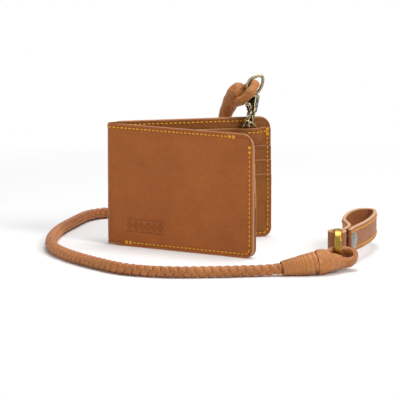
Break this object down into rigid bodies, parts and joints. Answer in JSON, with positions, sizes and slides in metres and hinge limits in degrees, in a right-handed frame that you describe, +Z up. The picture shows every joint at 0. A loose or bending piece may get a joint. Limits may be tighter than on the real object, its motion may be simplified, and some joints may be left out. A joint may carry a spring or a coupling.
{
  "type": "bifold wallet with braided leash",
  "caption": "Leather bifold wallet with card pockets, clipped by a trigger hook to a braided leather leash that ends in a ring and a snap-closed belt loop.",
  "frame": {"origin": "middle of the back cover's lower edge, on the surface the wallet stands on", "axes": "+X along the back leaf away from the fold, +Y out through the back cover, +Z up"},
  "size_m": [0.2412, 0.2782, 0.122],
  "materials": {
    "cover_leather": "tan full-grain, semi-matt, waxed",
    "lining_leather": "tan, smooth, slightly paler and duller than the cover",
    "braid_leather": "braided flat lace, darker in the grooves",
    "lace_leather": "smooth tan, satin",
    "strap_leather": "tan with pale burnished edges",
    "antique_brass": "antique, dark recesses and rubbed bright edges",
    "bright_brass": "brushed, lightly tarnished",
    "snap_metal": "nickel plated, satin",
    "spring_steel": "plain spring steel"
  },
  "bodies": {
    "back_leaf": {"back_cover": "cover_leather", "back_lining": "lining_leather", "back_inner_panel": "lining_leather", "back_pocket_upper": "lining_leather", "back_pocket_middle": "lining_leather", "back_pocket_front": "lining_leather", "ring_tab": "lining_leather"},
    "front_leaf": {"front_cover": "cover_leather", "front_lining": "lining_leather", "front_inner_panel": "lining_leather", "front_pocket_upper": "lining_leather", "front_pocket_middle": "lining_leather", "front_pocket_front": "lining_leather"},
    "d_ring": {"d_ring": "antique_brass"},
    "hook": {"hook_body": "antique_brass", "trigger_pin": "antique_brass", "trigger_spring": "spring_steel"},
    "trigger": {"hook_trigger": "antique_brass"},
    "bail": {"swivel_bail": "antique_brass"},
    "leash_top": {"top_loop": "lace_leather", "top_collar": "lace_leather", "cord_drop": "braid_leather"},
    "leash_side": {"cord_side": "braid_leather"},
    "leash_front": {"cord_front": "braid_leather"},
    "leash_tail": {"cord_tail": "braid_leather", "wrap_lace": "lace_leather", "end_collar": "lace_leather", "end_loop": "lace_leather"},
    "belt_ring": {"belt_ring": "bright_brass"},
    "belt_strap": {"belt_strap": "strap_leather", "snap_post": "snap_metal", "snap_stud": "snap_metal"},
    "belt_flap": {"belt_flap": "strap_leather", "snap_cap": "snap_metal", "snap_socket": "snap_metal"}
  },
  "joints": [
    {"name": "wallet_fold", "type": "hinge", "parent": "back_leaf", "child": "front_leaf", "pos_m": [-0.06, -0.0058, 0.045], "axis": [0, 0, -1], "range_deg": [-44, 136]},
    {"name": "ring_swing", "type": "hinge", "parent": "back_leaf", "child": "d_ring", "pos_m": [0.0405, -0.0034, 0.0762], "axis": [1, 0, 0], "range_deg": [-0.5, 2]},
    {"name": "hook_tilt", "type": "hinge", "parent": "d_ring", "child": "hook", "pos_m": [0.0405, -0.00583, 0.08631], "axis": [0.8067, -0.5736, -0.1422], "range_deg": [-2, 2]},
    {"name": "trigger_press", "type": "hinge", "parent": "hook", "child": "trigger", "pos_m": [0.04232, -0.00558, 0.09694], "axis": [0.8067, -0.5736, -0.1422], "range_deg": [0, 15]},
    {"name": "bail_turn", "type": "hinge", "parent": "hook", "child": "bail", "pos_m": [0.04328, -0.00583, 0.10337], "axis": [0.1736, 0, 0.9848], "range_deg": [-6, 3]},
    {"name": "leash_swing", "type": "hinge", "parent": "back_leaf", "child": "leash_top", "pos_m": [0.0438, -0.00583, 0.11], "axis": [0, 0, 1], "range_deg": [-6, 3]},
    {"name": "cord_bend_back", "type": "hinge", "parent": "leash_top", "child": "leash_side", "pos_m": [-0.072, 0.0782, 0.0043], "axis": [0, 0, -1], "range_deg": [-18, 55]},
    {"name": "cord_bend_left", "type": "hinge", "parent": "leash_side", "child": "leash_front", "pos_m": [-0.097, -0.1008, 0.0043], "axis": [0, 0, 1], "range_deg": [-15, 15]},
    {"name": "cord_bend_right", "type": "hinge", "parent": "leash_front", "child": "leash_tail", "pos_m": [0.01, -0.1578, 0.0043], "axis": [0, 0, 1], "range_deg": [-15, 15]},
    {"name": "belt_ring_turn", "type": "hinge", "parent": "leash_tail", "child": "belt_ring", "pos_m": [0.0687, -0.1464, 0.017], "axis": [0, 0, 1], "range_deg": [-6, 6]},
    {"name": "strap_swing", "type": "hinge", "parent": "belt_ring", "child": "belt_strap", "pos_m": [0.0693, -0.1393, 0.017], "axis": [0, 0, 1], "range_deg": [-8, 8]},
    {"name": "flap_open", "type": "hinge", "parent": "belt_strap", "child": "belt_flap", "pos_m": [0.11947, -0.04745, 0.017], "axis": [0, 0, 1], "range_deg": [0, 70]}
  ],
  "couplings": [
    {"joint": "cord_bend_back", "follows": "wallet_fold", "ratio": 0.4},
    {"joint": "bail_turn", "follows": "leash_swing", "ratio": 1}
  ]
}
